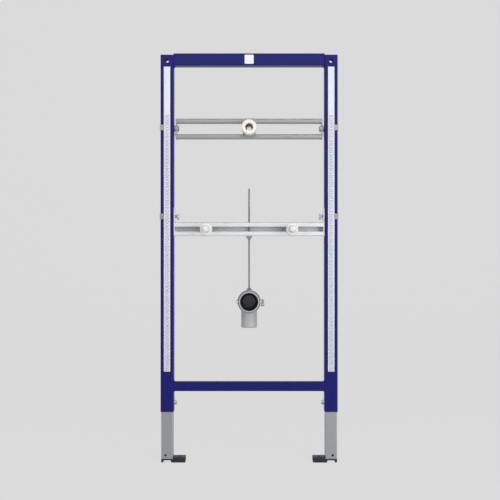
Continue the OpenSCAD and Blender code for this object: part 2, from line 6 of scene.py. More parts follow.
import bmesh
import bpy
import numpy as np
from bpy.props import FloatProperty, FloatVectorProperty, IntProperty, PointerProperty
from bpy.types import Operator, Panel, PropertyGroup
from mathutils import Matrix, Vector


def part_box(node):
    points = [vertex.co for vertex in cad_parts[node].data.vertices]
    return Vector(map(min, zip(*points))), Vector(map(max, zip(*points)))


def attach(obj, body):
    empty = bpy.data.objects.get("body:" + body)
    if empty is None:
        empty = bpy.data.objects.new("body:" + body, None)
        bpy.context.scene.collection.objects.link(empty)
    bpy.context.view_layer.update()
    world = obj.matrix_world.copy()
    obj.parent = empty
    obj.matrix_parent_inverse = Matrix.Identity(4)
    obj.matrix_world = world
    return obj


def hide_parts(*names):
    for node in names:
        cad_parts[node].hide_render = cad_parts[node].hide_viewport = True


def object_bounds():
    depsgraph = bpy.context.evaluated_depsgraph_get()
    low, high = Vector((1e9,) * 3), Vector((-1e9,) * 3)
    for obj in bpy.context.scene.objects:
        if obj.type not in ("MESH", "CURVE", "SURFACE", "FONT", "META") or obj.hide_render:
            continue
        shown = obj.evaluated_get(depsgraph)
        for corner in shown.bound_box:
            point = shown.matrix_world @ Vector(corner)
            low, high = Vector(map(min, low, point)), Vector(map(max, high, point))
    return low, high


bl_info = {
    "name": "Urinal installation frame",
    "version": (1, 0, 0),
    "blender": (4, 5, 0),
    "location": "3D View > Sidebar > Frame",
    "description": "Finishes, threads, printed scales, weld beads and studio for an installation frame",
    "category": "Mesh",
}

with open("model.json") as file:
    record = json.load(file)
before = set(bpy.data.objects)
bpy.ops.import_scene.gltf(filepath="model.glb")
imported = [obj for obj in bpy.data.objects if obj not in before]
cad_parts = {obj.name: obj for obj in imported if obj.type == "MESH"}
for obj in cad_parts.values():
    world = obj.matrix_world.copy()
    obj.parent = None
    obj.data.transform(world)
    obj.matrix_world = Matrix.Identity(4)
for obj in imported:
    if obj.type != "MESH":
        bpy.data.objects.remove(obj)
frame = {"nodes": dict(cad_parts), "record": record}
CAD_BOX = [list(corner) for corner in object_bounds()]
RECORD = frame["record"]
BODY_OF = {node: body for body, nodes in RECORD["behaviour"]["bodies"].items() for node in nodes}

MM = 0.001
TURN = 2 * math.pi
SIDES = (("left", -1), ("right", 1))
# The last row keeps the frame right-handed, so that a lathed shape turns the same way on every axis
AXES = {
    "x": np.array([[1, 0, 0], [0, 1, 0], [0, 0, 1]], float),
    "y": np.array([[0, 1, 0], [0, 0, 1], [1, 0, 0]], float),
    "z": np.array([[0, 0, 1], [1, 0, 0], [0, 1, 0]], float),
}


def linear(code):
    """Linear red, green and blue of an sRGB hex value."""
    srgb = np.array([int(code[i : i + 2], 16) for i in (1, 3, 5)]) / 255
    return tuple(np.where(srgb <= 0.04045, srgb / 12.92, ((srgb + 0.055) / 1.055) ** 2.4))


def colour(name, description, code):
    """A colour property whose default is an sRGB hex value."""
    return FloatVectorProperty(
        name=name, description=description, subtype="COLOR", size=3, min=0, max=1, default=linear(code)
    )


def length(name, description, millimetres):
    """A length property whose default is given in millimetres."""
    return FloatProperty(
        name=name, description=description, default=millimetres * MM, min=0, unit="LENGTH", precision=5
    )


class FrameColours(PropertyGroup):
    """Colours of the frame's finishes."""

    coat: colour("Coat", "Blue powder coat of the frame", "#17146F")
    coat_shade: colour("Coat shade", "Where the blue coat lies a little thicker", "#120F60")
    foot: colour("Feet", "Dark coat of the feet", "#2E303B")
    galvanised: colour("Galvanised", "Hot-dip galvanised steel", "#A9ABAC")
    rail: colour("Rail", "Bright galvanised strip of the fixing rail", "#E2E3E4")
    zinc: colour("Zinc", "Zinc plating of straps and screws", "#BEBFC3")
    brass: colour("Brass", "Machined brass", "#D9C48A")
    sleeve: colour("Sleeve", "Cream polyethylene of the protective sleeve", "#F4F0E6")
    white: colour("White", "White polypropylene of caps and collars", "#F2F2F1")
    pipe: colour("Pipe", "Grey polypropylene of the drain elbow", "#B9BABB")
    lining: colour("Lining", "Grey rubber of the clamp's lining", "#8A8C8E")
    seal: colour("Seal", "Black rubber of the drain seal", "#232323")
    foil: colour("Foil", "Foil of the scale strips", "#E3E6EC")
    ink: colour("Ink", "Print on the scale strips", "#5F656C")
    backdrop: colour("Backdrop", "Floor and backdrop of the studio", "#E0E0E0")


class FrameSizes(PropertyGroup):
    """Sizes of what the finishes and small parts add to the frame."""

    edge: length("Edge", "Rounding of cut sheet and tube edges", 0.4)
    spangle: length("Spangle", "Width of a zinc crystal", 7)
    peel: length("Orange peel", "Width of a ripple in the powder coat", 2.5)
    bead: length("Weld bead", "Radius of a weld bead", 1.6)
    rod_pitch: length("Rod pitch", "Pitch of the threaded rod", 1)
    pipe_pitch: length("Pipe thread pitch", "Pitch of the brass fitting's threads", 1.814)
    figure: length("Figure height", "Height of the figures on the scale", 5)
    tick: length("Tick", "Width of a millimetre line on the scale", 0.3)
    thread_sides: IntProperty(name="Thread sides", description="Facets round a thread", default=20, min=8)
    eye_height: length("Eye height", "Height of the camera above the floor", 600)
    distance: length("Distance", "Distance of the camera from the frame's front", 3000)
    view_width: length("View width", "Width that the picture takes in at the frame's front", 1410)


def settings():
    """The scene's sizes and colours."""
    return bpy.context.scene.frame_sizes, bpy.context.scene.frame_colours


# Shapes


def grid(points, wrap_rows=False, wrap_columns=False):
    """A surface given as an array (rows, columns, 3): its points, and a quad for each pair of neighbours."""
    rows, columns = points.shape[:2]
    index = np.arange(rows * columns).reshape(rows, columns)
    if wrap_rows:
        index = np.vstack([index, index[:1]])
    if wrap_columns:
        index = np.hstack([index, index[:, :1]])
    quads = np.stack([index[:-1, :-1], index[1:, :-1], index[1:, 1:], index[:-1, 1:]], axis=-1)
    return points.reshape(-1, 3), quads.reshape(-1, 4)


def lathe(heights, radii, origin, axis="z", wrap=False):
    """Rings stacked along an axis: origin + height * axis + radius * (cos a, sin a) across it.

    radii has a row for each height and a column for each angle; wrap joins the last ring to the first.
    """
    heights = np.asarray(heights, float)
    angles = np.linspace(0, TURN, radii.shape[1], endpoint=False)
    along, across, up = AXES[axis]
    spokes = np.cos(angles)[:, None] * across + np.sin(angles)[:, None] * up
    points = np.asarray(origin, float) + heights[:, None, None] * along + radii[..., None] * spokes
    return grid(points, wrap_rows=wrap, wrap_columns=True)


def turned(rows, origin, axis="z", sides=64, wrap=False):
    """Surface turned from rows (height, radius, hexagon), in which a hexagon's corner radius limits the ring.

    A hexagon of corner radius c has the radius c cos 30 / cos(a mod 60 - 30) at the angle a.
    """
    rows = np.array([tuple(row) + (0,) * (3 - len(row)) for row in rows], float)
    angles = np.linspace(0, TURN, sides, endpoint=False)
    flat = math.cos(TURN / 12) / np.cos(angles % (TURN / 6) - TURN / 12)
    limit = np.where(rows[:, 2:] > 0, rows[:, 2:] * flat, np.inf)
    return lathe(rows[:, 0], np.minimum(rows[:, 1:2], limit), origin, axis, wrap)


def rounded(corners, radii, steps=5, closed=True):
    """Outline of (x, y) corners with each corner turned into an arc of its own radius.

    The arc touches both sides at radius / tan(half the corner's angle), and its points are the weighted
    sum of the two radii that end there, with weights sin((1 - t) w) and sin(t w) over sin w.
    """
    corners = np.asarray(corners, float)
    radii = np.broadcast_to(np.asarray(radii, float), len(corners))[:, None]
    back = np.roll(corners, 1, axis=0) - corners
    ahead = np.roll(corners, -1, axis=0) - corners
    back /= np.linalg.norm(back, axis=1, keepdims=True)
    ahead /= np.linalg.norm(ahead, axis=1, keepdims=True)
    half = np.arccos(np.clip((back * ahead).sum(1, keepdims=True), -1, 1)) / 2
    reach = radii / np.tan(half)
    middle = back + ahead
    middle /= np.maximum(np.linalg.norm(middle, axis=1, keepdims=True), 1e-9)
    centre = corners + middle * radii / np.sin(half)
    start, end = corners + back * reach - centre, corners + ahead * reach - centre
    swing = np.maximum(math.pi - 2 * half, 1e-6)[:, None]
    t = np.linspace(0, 1, steps)[None, :, None]
    arc = (np.sin((1 - t) * swing) * start[:, None] + np.sin(t * swing) * end[:, None]) / np.sin(swing)
    outline = centre[:, None] + arc
    if not closed:
        outline[0], outline[-1] = corners[0], corners[-1]
    return outline.reshape(-1, 2)


def thread(radius, pitch, span, sides, steps=6, inward=True):
    """Heights and radii of a V-thread: radius - depth * |2 frac(height / pitch - angle / turn) - 1|.

    The depth is 0.6 of the pitch, outwards for a thread inside a bore, and it runs out over the last pitch.
    """
    heights = np.linspace(0, span, max(2, round(span / pitch * steps)) + 1)
    angles = np.linspace(0, 1, sides, endpoint=False)
    wave = np.abs(2 * ((heights[:, None] / pitch - angles) % 1) - 1)
    runout = np.clip(np.minimum(heights, span - heights) / pitch, 0, 1)[:, None]
    depth = 0.6 * pitch
    if inward:
        return heights, radius - depth * (1 - runout * (1 - wave))
    return heights, radius + depth * runout * wave


def closed_lathe(heights, radii, origin, axis):
    """A lathed solid whose two ends are closed by rings that shrink to the axis."""
    point = np.zeros((1, radii.shape[1]))
    heights = np.concatenate([heights[:1], heights, heights[-1:]])
    return lathe(heights, np.vstack([point, radii, point]), origin, axis)


def boxes(centres, sizes):
    """Boxes at many centres: each corner is the centre plus or minus half the size along each axis."""
    centres, sizes = np.broadcast_arrays(np.asarray(centres, float), np.asarray(sizes, float))
    signs = np.array([[x, y, z] for x in (-1, 1) for y in (-1, 1) for z in (-1, 1)]) / 2
    points = (centres[:, None] + sizes[:, None] * signs).reshape(-1, 3)
    faces = np.array([[0, 1, 3, 2], [4, 6, 7, 5], [0, 4, 5, 1], [2, 3, 7, 6], [0, 2, 6, 4], [1, 5, 7, 3]])
    return points, (faces + 8 * np.arange(len(centres))[:, None, None]).reshape(-1, 4)


def slab(low, high, corner, edge):
    """Thin plate that faces -Y: rounded rectangles from the middle of its front over its rim to its back."""
    centre = (np.asarray(low) + np.asarray(high)) / 2
    width, height = high[0] - low[0], high[2] - low[2]

    def ring(inset, y):
        w, h = width / 2 - inset, height / 2 - inset
        outline = rounded([(-w, -h), (w, -h), (w, h), (-w, h)], corner - inset)
        return np.stack([centre[0] + outline[:, 0], np.full(len(outline), y), centre[2] + outline[:, 1]], axis=1)

    rows = [ring(edge, low[1]), ring(edge * 0.3, low[1] + edge * 0.3), ring(0, low[1] + edge), ring(0, high[1])]
    middle = np.array([centre[0], 0, centre[2]])
    first = np.tile(middle + [0, low[1], 0], (len(rows[0]), 1))
    last = np.tile(middle + [0, high[1], 0], (len(rows[0]), 1))
    return grid(np.stack([first, *rows, last]), wrap_columns=True)


def bead(start, end, radius, ripple=2.2 * MM):
    """Weld bead from start to end: rings of radius (1 + 0.12 cos(turn * s / ripple)) that close at both ends."""
    start, end = np.asarray(start, float), np.asarray(end, float)
    span = np.linalg.norm(end - start)
    along = (end - start) / span
    across = np.cross(along, [0.3, 0.5, 0.8])
    across /= np.linalg.norm(across)
    up = np.cross(along, across)
    s = np.linspace(0, span, max(8, round(span / ripple * 5)) + 1)
    close = np.sqrt(np.clip(np.minimum(s, span - s) / radius, 0, 1))
    size = radius * close * (1 + 0.12 * np.cos(TURN * s / ripple))
    angles = np.linspace(0, TURN, 10, endpoint=False)
    spokes = np.cos(angles)[:, None] * across + np.sin(angles)[:, None] * up
    return grid(start + s[:, None, None] * along + size[:, None, None] * spokes, wrap_columns=True)


# Finishes


def add(tree, kind, inputs=None, **options):
    """Adds one node with its options; each input takes a value, or another node's socket to be linked."""
    node = tree.nodes.new("ShaderNode" + kind)
    for name, value in options.items():
        setattr(node, name, value)
    for name, value in (inputs or {}).items():
        if isinstance(value, bpy.types.NodeSocket):
            tree.links.new(value, node.inputs[name])
        else:
            node.inputs[name].default_value = value
    return node


def finish(name, base, **sockets):
    """A material with a Principled shader: its tree, its shader and its object coordinates."""
    material = bpy.data.materials.new(name)
    material.use_nodes = True
    tree = material.node_tree
    shader = tree.nodes["Principled BSDF"]
    shader.inputs["Base Color"].default_value = (*base, 1)
    for socket, value in sockets.items():
        shader.inputs["IOR" if socket == "ior" else socket.title()].default_value = value
    return tree, shader, add(tree, "TexCoord").outputs["Object"]


def roughen(tree, shader, height, strength, distance):
    """Links a height to the shader's normal through a bump."""
    bump = add(tree, "Bump", {"Height": height, "Strength": strength, "Distance": distance})
    tree.links.new(bump.outputs["Normal"], shader.inputs["Normal"])


def vary_colour(tree, shader, factor, first, second):
    """Mixes two colours by a factor and links the result to the base colour."""
    mixed = add(tree, "Mix", {0: factor, 6: (*first, 1), 7: (*second, 1)}, data_type="RGBA")
    tree.links.new(mixed.outputs[2], shader.inputs["Base Color"])


def powder_coat(name, base, shade, peel, roughness):
    """Polyester powder stoved on steel: even and glossy, with the faint ripple of orange peel."""
    tree, shader, place = finish(name, base, roughness=roughness, ior=1.3)
    cloud = add(tree, "TexNoise", {"Vector": place, "Scale": 1 / (40 * MM), "Detail": 2.0})
    vary_colour(tree, shader, cloud.outputs["Fac"], base, shade)
    ripple = add(tree, "TexNoise", {"Vector": place, "Scale": 1 / peel, "Detail": 1.0})
    roughen(tree, shader, ripple.outputs["Fac"], 0.12, 0.1 * MM)


def galvanised(name, base, spangle, roughness, spread):
    """Hot-dip galvanised steel: zinc crystals that each reflect a little differently, under fine grain."""
    dull = tuple(c * (1 - spread) for c in base)
    tree, shader, place = finish(name, base, metallic=1.0, roughness=roughness)
    crystal = add(tree, "TexVoronoi", {"Vector": place, "Scale": 1 / spangle, "Randomness": 1.0})
    tone = add(tree, "SeparateColor", {"Color": crystal.outputs["Color"]}).outputs["Red"]
    vary_colour(tree, shader, tone, base, dull)
    rough = add(tree, "MapRange", {"Value": tone, "To Min": roughness - 0.06, "To Max": roughness + 0.08})
    tree.links.new(rough.outputs["Result"], shader.inputs["Roughness"])
    grain = add(tree, "TexNoise", {"Vector": place, "Scale": 1 / (0.8 * MM), "Detail": 2.0})
    roughen(tree, shader, grain.outputs["Fac"], 0.1, 0.05 * MM)


def zinc_plated(name, base, roughness):
    """Bright zinc plating on pressed or rolled steel: smooth, with faint cloudy passivation."""
    tree, shader, place = finish(name, base, metallic=1.0, roughness=roughness)
    cloud = add(tree, "TexNoise", {"Vector": place, "Scale": 1 / (9 * MM), "Detail": 3.0})
    vary_colour(tree, shader, cloud.outputs["Fac"], base, tuple(c * 0.85 for c in base))
    grain = add(tree, "TexNoise", {"Vector": place, "Scale": 1 / (0.5 * MM), "Detail": 1.0})
    roughen(tree, shader, grain.outputs["Fac"], 0.08, 0.03 * MM)


def machined_brass(name, base):
    """Brass turned on a lathe: fine rings a few tenths of a millimetre apart across the axis."""
    tree, shader, place = finish(name, base, metallic=1.0, roughness=0.28)
    rings = add(
        tree,
        "TexWave",
        {"Vector": place, "Scale": 1 / (3 * MM), "Distortion": 0.4},
        wave_type="BANDS",
        bands_direction="Y",
    )
    roughen(tree, shader, rings.outputs["Fac"], 0.15, 0.02 * MM)
    cloud = add(tree, "TexNoise", {"Vector": place, "Scale": 1 / (6 * MM), "Detail": 2.0})
    vary_colour(tree, shader, cloud.outputs["Fac"], base, tuple(c * 0.88 for c in base))


def moulded(name, base, roughness, grain_size, softness=0.0, ior=1.49):
    """Injection-moulded plastic or rubber: the tool's fine grain, and light that sinks in a little."""
    tree, shader, place = finish(name, base, roughness=roughness, ior=ior)
    if softness:
        shader.inputs["Subsurface Weight"].default_value = softness
        shader.inputs["Subsurface Scale"].default_value = 1.5 * MM
    cloud = add(tree, "TexNoise", {"Vector": place, "Scale": 1 / (25 * MM), "Detail": 2.0})
    vary_colour(tree, shader, cloud.outputs["Fac"], base, tuple(c * 0.94 for c in base))
    grain = add(tree, "TexNoise", {"Vector": place, "Scale": 1 / grain_size, "Detail": 1.0})
    roughen(tree, shader, grain.outputs["Fac"], 0.1, 0.05 * MM)


def studio_finish(name, base):
    """Painted floor and backdrop, shown at their own colour and kept a little open to the object's shadow."""
    tree, shader, _ = finish(name, base, roughness=0.9)
    shader.inputs["Specular IOR Level"].default_value = 0.0
    path = add(tree, "LightPath").outputs
    seen = add(tree, "Math", {0: path["Is Camera Ray"], 1: path["Is Glossy Ray"]}, operation="MAXIMUM")
    seen = add(tree, "Math", {0: seen.outputs[0], 1: path["Is Transmission Ray"]}, operation="MAXIMUM")
    share = add(tree, "Math", {0: seen.outputs[0], 1: 0.9}, operation="MULTIPLY")
    glow = add(tree, "Emission", {"Color": (*base, 1), "Strength": 1.0})
    mixed = add(tree, "MixShader", {0: share.outputs[0], 1: shader.outputs[0], 2: glow.outputs[0]})
    tree.links.new(mixed.outputs[0], tree.nodes["Material Output"].inputs["Surface"])


# Pieces


def settle(mesh, name, finish_name, body, replaces, sharp):
    """Shades a finished mesh, gives it its material and puts it on its body."""
    mesh.polygons.foreach_set("use_smooth", np.ones(len(mesh.polygons), bool))
    mesh.set_sharp_from_angle(angle=math.radians(sharp))
    mesh.materials.append(bpy.data.materials[finish_name])
    made = bpy.data.objects.new(name, mesh)
    bpy.context.scene.collection.objects.link(made)
    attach(made, body)
    if replaces:
        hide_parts(*replaces)
    return made


def piece(name, surfaces, finish_name, node, extra=False, sharp=35):
    """Joins surfaces into one mesh that replaces a node, or is an extra on that node's body.

    Doubles are merged, which closes seams and poles, and then the faces of each closed shell turn outwards.
    """
    counts = np.cumsum([0] + [len(points) for points, _ in surfaces])
    points = np.vstack([points for points, _ in surfaces])
    faces = [(quads + first).tolist() for (_, quads), first in zip(surfaces, counts)]
    mesh = bpy.data.meshes.new(name)
    mesh.from_pydata(points.tolist(), [], sum(faces, []))
    shell = bmesh.new()
    shell.from_mesh(mesh)
    bmesh.ops.remove_doubles(shell, verts=shell.verts, dist=1e-6)
    bmesh.ops.recalc_face_normals(shell, faces=shell.faces)
    shell.to_mesh(mesh)
    shell.free()
    replaces = () if extra else (node,)
    return settle(mesh, name, finish_name, BODY_OF[node], replaces, sharp)


def eased(node, finish_name, edge=None, sharp=30):
    """A merged copy of a CAD node whose flat faces are joined up and whose sharp edges are rounded."""
    shell = bmesh.new()
    shell.from_mesh(frame["nodes"][node].data)
    bmesh.ops.remove_doubles(shell, verts=shell.verts, dist=1e-6)
    bmesh.ops.dissolve_limit(shell, angle_limit=math.radians(0.5), verts=shell.verts, edges=shell.edges)
    name = node + "_finished"
    mesh = bpy.data.meshes.new(name)
    shell.to_mesh(mesh)
    shell.free()
    made = settle(mesh, name, finish_name, BODY_OF[node], (node,), sharp)
    bevel = made.modifiers.new("rounded edges", "BEVEL")
    bevel.width = settings()[0].edge if edge is None else edge
    bevel.segments = 2
    bevel.limit_method = "ANGLE"
    bevel.angle_limit = math.radians(40)
    weights = made.modifiers.new("flat faces stay flat", "WEIGHTED_NORMAL")
    weights.keep_sharp = True
    return made


def middle(node):
    """Centre of a node's box."""
    low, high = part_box(node)
    return np.array((low + high) / 2)


def hex_head(base, height, corner, chamfer=0.12):
    """Rows of a hexagonal head from its bearing face to its chamfered top, in which a 30 degree cone cuts it."""
    flat = corner * math.cos(TURN / 12)
    drop = (corner - 0.95 * flat) * math.tan(TURN / 12)
    levels = np.linspace(0, drop, 4)
    rows = [(base, 0), (base, 2 * corner, corner), (base + height - drop, 2 * corner, corner)]
    for level in levels:
        rows.append((base + height - drop + level, corner - level / math.tan(TURN / 12), corner))
    rows.append((base + height - chamfer * 0.2 * MM, 0.9 * flat * 0.98))
    rows.append((base + height, 0))
    return rows


class Make:
    """What the operators share."""

    bl_options = {"REGISTER", "UNDO"}

    def execute(self, context):
        """Makes the pieces from the scene's sizes."""
        self.make(*settings())
        return {"FINISHED"}


class FRAME_OT_finishes(Make, Operator):
    """Make the frame's finishes"""

    bl_idname = "installation_frame.finishes"
    bl_label = "Finishes"

    def make(self, sizes, colours):
        powder_coat("blue powder coat", colours.coat, colours.coat_shade, sizes.peel, 0.4)
        powder_coat("dark powder coat", colours.foot, tuple(c * 0.8 for c in colours.foot), sizes.peel, 0.45)
        galvanised("galvanised steel", colours.galvanised, sizes.spangle, 0.42, 0.06)
        galvanised("bright galvanised strip", colours.rail, sizes.spangle, 0.55, 0.05)
        zinc_plated("zinc-plated steel", colours.zinc, 0.34)
        machined_brass("machined brass", colours.brass)
        moulded("cream polyethylene", colours.sleeve, 0.42, 0.9 * MM, softness=0.15)
        moulded("white polypropylene", colours.white, 0.35, 0.7 * MM, softness=0.1)
        moulded("grey polypropylene", colours.pipe, 0.4, 0.8 * MM)
        moulded("grey lining rubber", colours.lining, 0.8, 1.2 * MM)
        moulded("black seal rubber", colours.seal, 0.6, 1.0 * MM)
        moulded("scale foil", colours.foil, 0.4, 1.5 * MM)
        moulded("white label foil", (0.86, 0.87, 0.9), 0.3, 1.5 * MM)
        moulded("printing ink", colours.ink, 0.6, 0.8 * MM)
        studio_finish("studio floor", colours.backdrop)


class FRAME_OT_tubes(Make, Operator):
    """Make the coated tubes of the frame with their weld beads"""

    bl_idname = "installation_frame.tubes"
    bl_label = "Coated tubes"

    def make(self, sizes, colours):
        for node in ("upright_left", "upright_right", "top_bar", "lower_bar"):
            eased(node, "blue powder coat")
        for bar in ("top_bar", "lower_bar"):
            low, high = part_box(bar)
            inset = 3.5 * MM
            for side, sign in SIDES:
                x = sign * high.x - sign * 0.6 * sizes.bead
                upright_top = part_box("upright_" + side)[1].z
                top = min(high.z, upright_top + 0.6 * sizes.bead)
                ends = ((top, 0.4), (low.z, -0.4))
                beads = [
                    bead((x, low.y + inset, z + lift * sizes.bead), (x, high.y - inset, z + lift * sizes.bead), sizes.bead)
                    for z, lift in ends
                ]
                piece(f"{bar}_weld_{side}", beads, "blue powder coat", bar, extra=True)


class FRAME_OT_scales(Make, Operator):
    """Make the blank label, the scale strips and their print"""

    bl_idname = "installation_frame.scales"
    bl_label = "Label and scales"

    def make(self, sizes, colours):
        low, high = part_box("blank_label")
        piece("blank_label_foil", [slab(low, high, 2 * MM, 0.2 * MM)], "white label foil", "blank_label")
        figures = self.figures(sizes.figure)
        for side, _ in SIDES:
            node = "scale_strip_" + side
            low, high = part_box(node)
            piece(node + "_foil", [slab(low, high, 1 * MM, 0.2 * MM)], "scale foil", node)
            piece(node + "_print", self.print_on(low, high, sizes, figures), "printing ink", node, extra=True)

    def figures(self, height):
        """Points and faces of the ten figures, as thin solids that face -Y, from the built-in font."""
        made = []
        for figure in range(10):
            curve = bpy.data.curves.new("figure", "FONT")
            curve.body = str(figure)
            curve.size = height / 0.7
            curve.extrude = 0.01 * MM
            curve.resolution_u = 2
            curve.align_x = "CENTER"
            curve.align_y = "CENTER"
            holder = bpy.data.objects.new("figure", curve)
            mesh = bpy.data.meshes.new_from_object(holder)
            points = np.empty(3 * len(mesh.vertices))
            mesh.vertices.foreach_get("co", points)
            points = points.reshape(-1, 3)
            mesh.calc_loop_triangles()
            faces = np.empty(3 * len(mesh.loop_triangles), int)
            mesh.loop_triangles.foreach_get("vertices", faces)
            made.append((points[:, [0, 2, 1]] * [1, -1, 1], faces.reshape(-1, 3)))
            bpy.data.objects.remove(holder)
            bpy.data.meshes.remove(mesh)
            bpy.data.curves.remove(curve)
        return made

    def print_on(self, low, high, sizes, figures):
        """Millimetre and centimetre lines along the strip, with a figure at each centimetre above the floor."""
        floor = CAD_BOX[0][2]
        face = low.y - 0.015 * MM
        x = (low.x + high.x) / 2
        first, last = 26, 98
        marks = np.arange(10 * first, 10 * last + 1)
        heights = floor + marks * MM
        whole = marks % 10 == 0
        half = marks % 5 == 0
        edge = 6.3 * MM
        reach = np.where(whole, edge, np.where(half, 2.8 * MM, 1.8 * MM))
        thick = np.where(whole, 3, 1) * sizes.tick
        lines = [
            boxes(
                np.stack([x + sign * (edge - reach / 2), np.full(len(marks), face), heights], axis=1),
                np.stack([reach, np.full(len(marks), 0.03 * MM), thick], axis=1),
            )
            for sign in (-1, 1)
        ]
        solids = list(lines)
        for number in range(first, last):
            for place, figure in enumerate(str(number)):
                points, faces = figures[int(figure)]
                shift = (place - (len(str(number)) - 1) / 2) * 0.62 * sizes.figure
                at = np.array([x + shift, face, floor + (number * 10 + 5) * MM])
                solids.append((points + at, faces))
        return solids


class FRAME_OT_feet(Make, Operator):
    """Make the telescopic legs, their feet, clamping screws and rivets"""

    bl_idname = "installation_frame.feet"
    bl_label = "Legs and feet"

    def make(self, sizes, colours):
        for side, sign in SIDES:
            eased("leg_" + side, "galvanised steel")
            eased("foot_" + side, "dark powder coat", edge=0.8 * MM)
            self.leg_screw(side, sign)
            self.rivet(side, sign)

    def leg_screw(self, side, sign):
        """Weld nut on the upright, and the screw that presses on the leg through it."""
        low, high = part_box("leg_screw_" + side)
        centre = middle("leg_screw_" + side)
        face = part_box("top_bar")[1].x
        corner = (high.z - low.z) / 2
        nut_h = 5.2 * MM
        head_h = 3.6 * MM
        origin = (0, centre[1], centre[2])

        def inward(rows):
            """Rows counted from the upright's face towards the middle of the frame."""
            return [(sign * (face - row[0]), *row[1:]) for row in rows]

        nut = turned(inward(hex_head(0, nut_h, corner)), origin, "x", sides=72)
        head = turned(inward(hex_head(nut_h, head_h, corner * 0.8)), origin, "x", sides=72)
        shank = turned(inward([(0, 0), (0, 4 * MM), (-1.6 * MM, 4 * MM), (-1.6 * MM, 0)]), origin, "x", sides=32)
        piece("leg_screw_" + side + "_hex", [nut, head, shank], "zinc-plated steel", "leg_screw_" + side)

    def rivet(self, side, sign):
        """Flat rivet head on the outer side of the leg, level with the small hole in its front.

        It rises less than the 0.3 mm of play between leg and upright, so that it passes inside."""
        leg_low, leg_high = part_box("leg_" + side)
        face = abs(leg_low.x if side == "left" else leg_high.x)
        rise = 0.2 * MM
        steps = np.linspace(0, 1, 7)
        rows = [(-0.3 * MM, 0), (-0.3 * MM, 2.6 * MM)]
        rows += [(rise * math.sin(t * TURN / 4), 2.6 * MM * math.cos(t * TURN / 4)) for t in steps]
        rows = [(sign * (face + row[0]), row[1]) for row in rows]
        centre = (0, middle("leg_" + side)[1], CAD_BOX[0][2] + 20.5 * MM)
        shape = [turned(rows, centre, "x", sides=32)]
        piece("leg_rivet_" + side, shape, "zinc-plated steel", "leg_" + side, extra=True)


def clamp_screw_parts(low, high, pitch):
    """Pan-head screw with a hexagon socket, running to the rear, and its weld nut."""
    centre = (np.asarray(low) + np.asarray(high)) / 2
    radius = (high[2] - low[2]) / 2
    origin = (centre[0], low[1], centre[2])
    head_h = 3.25 * MM
    socket, deep = 1.9 * MM, 1.7 * MM
    crown = rounded([(0, 0), (radius, 0), (radius, head_h)], [0, 1.2 * MM, 0.2 * MM], closed=False)
    rows = [(deep, 0), (deep, 3 * socket, socket), (0.05 * MM, 3 * socket, socket), (0, socket * 1.1)]
    rows += [(h, r) for r, h in crown[5:]] + [(head_h, 0)]
    head = turned(rows, origin, "y", sides=48)
    heights, radii = thread(2.5 * MM, pitch, high[1] - low[1] - head_h, 18)
    shank = closed_lathe(heights, radii, (origin[0], low[1] + head_h, origin[2]), "y")
    nut_front = 0.3 * MM - head_h
    nut = turned(hex_head(0, head_h, 4 * MM), (origin[0], nut_front, origin[2]), "y", sides=48)
    return [head, shank, nut]


class FRAME_OT_water_bracket(Make, Operator):
    """Make the water bracket's bars, end plates, straps and screws"""

    bl_idname = "installation_frame.water_bracket"
    bl_label = "Water bracket"

    def make(self, sizes, colours):
        for node in ("water_bar_upper", "water_bar_lower", "connector_plate"):
            eased(node, "galvanised steel")
        for side, _ in SIDES:
            eased("water_end_" + side, "galvanised steel")
            eased("water_strap_" + side, "zinc-plated steel", edge=0.3 * MM)
            node = "water_screw_" + side
            piece(node + "_thread", clamp_screw_parts(*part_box(node), 0.8 * MM), "zinc-plated steel", node)


